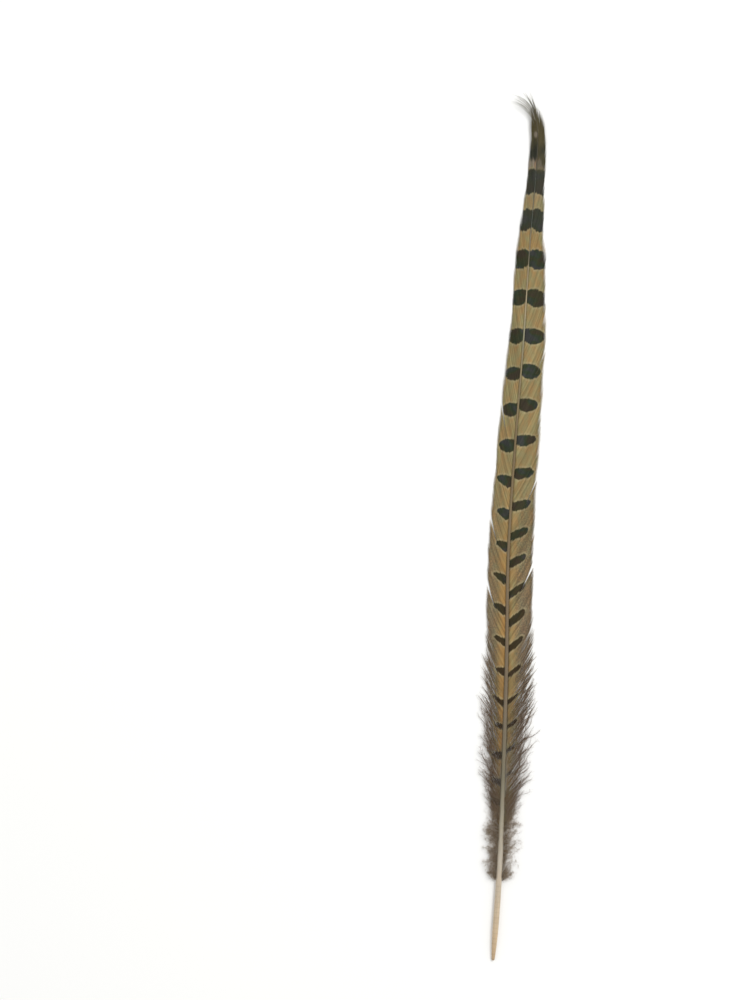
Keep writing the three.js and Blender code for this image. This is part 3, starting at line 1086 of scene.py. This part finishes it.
class FEATHER_OT_stage(bpy.types.Operator):
    """Build the paper floor, the lights and the camera"""

    bl_idname = "feather.stage"
    bl_label = "Build Stage"
    bl_options = {"REGISTER", "UNDO"}

    FLOOR_SIZE = 60.0
    KEY_SIZE = 0.9
    KEY_PLACE = (1.0, 0.9, 1.7)
    IMAGE = (750, 1000)
    METRES_PER_PIXEL = 0.5747 * MM
    ORIGIN_PIXEL = (515.0, 525.6)  # where the frame's origin is in the image
    LENS = 85.0
    SENSOR = 36.0

    def execute(self, context):
        settings = context.scene.feather.stage
        scene = context.scene
        half = self.FLOOR_SIZE / 2
        mesh = bpy.data.meshes.new("floor")
        mesh.from_pydata([(-half, -half, 0), (half, -half, 0), (half, half, 0), (-half, half, 0)],
                         [], [(0, 1, 2, 3)])
        mesh.materials.append(paper_material(settings))
        floor = bpy.data.objects.new("floor", mesh)
        scene.collection.objects.link(floor)

        world = bpy.data.worlds.new("Soft room")
        world.use_nodes = True
        world.node_tree.nodes.clear()
        sky = add_node(world.node_tree, "Background", {"Color": (1, 1, 1), "Strength": settings.sky})
        add_node(world.node_tree, "OutputWorld", {0: sky})
        scene.world = world

        key = bpy.data.lights.new("key", "AREA")
        key.shape = "DISK"
        key.size = self.KEY_SIZE
        key.energy = settings.key_power
        lamp = bpy.data.objects.new("key", key)
        lamp.location = self.KEY_PLACE
        lamp.rotation_euler = (-Vector(self.KEY_PLACE)).to_track_quat("-Z", "Y").to_euler()
        scene.collection.objects.link(lamp)

        width, height = self.IMAGE
        camera = bpy.data.objects.new("camera", bpy.data.cameras.new("camera"))
        camera.data.lens = self.LENS
        camera.data.sensor_width = self.SENSOR
        camera.location = (
            (width / 2 - self.ORIGIN_PIXEL[0]) * self.METRES_PER_PIXEL,
            (self.ORIGIN_PIXEL[1] - height / 2) * self.METRES_PER_PIXEL,
            self.LENS / self.SENSOR * height * self.METRES_PER_PIXEL,
        )
        scene.collection.objects.link(camera)
        scene.camera = camera
        scene.view_settings.view_transform = "Standard"
        return {"FINISHED"}


class FEATHER_PT_panel(bpy.types.Panel):
    bl_label = "Pheasant Tail Feather"
    bl_idname = "FEATHER_PT_panel"
    bl_space_type = "VIEW_3D"
    bl_region_type = "UI"
    bl_category = "Feather"

    def draw(self, context):
        for name in ("shaft", "vanes", "down", "stage"):
            box = self.layout.box()
            settings = getattr(context.scene.feather, name)
            for prop in settings.bl_rna.properties:
                if prop.identifier not in {"rna_type", "name"}:
                    box.prop(settings, prop.identifier)
            box.operator(f"feather.{name}")


CLASSES = (
    ShaftSettings, VaneSettings, DownSettings, StageSettings, FeatherSettings,
    FEATHER_OT_shaft, FEATHER_OT_vanes, FEATHER_OT_down, FEATHER_OT_stage, FEATHER_PT_panel,
)


def register():
    for cls in CLASSES:
        bpy.utils.register_class(cls)
    bpy.types.Scene.feather = bpy.props.PointerProperty(type=FeatherSettings)


def unregister():
    del bpy.types.Scene.feather
    for cls in reversed(CLASSES):
        bpy.utils.unregister_class(cls)


def main():
    """Builds the stage and every piece."""
    register()
    bpy.ops.feather.stage()
    bpy.ops.feather.shaft()
    bpy.ops.feather.vanes()
    bpy.ops.feather.down()


if __name__ == "__main__":
    main()
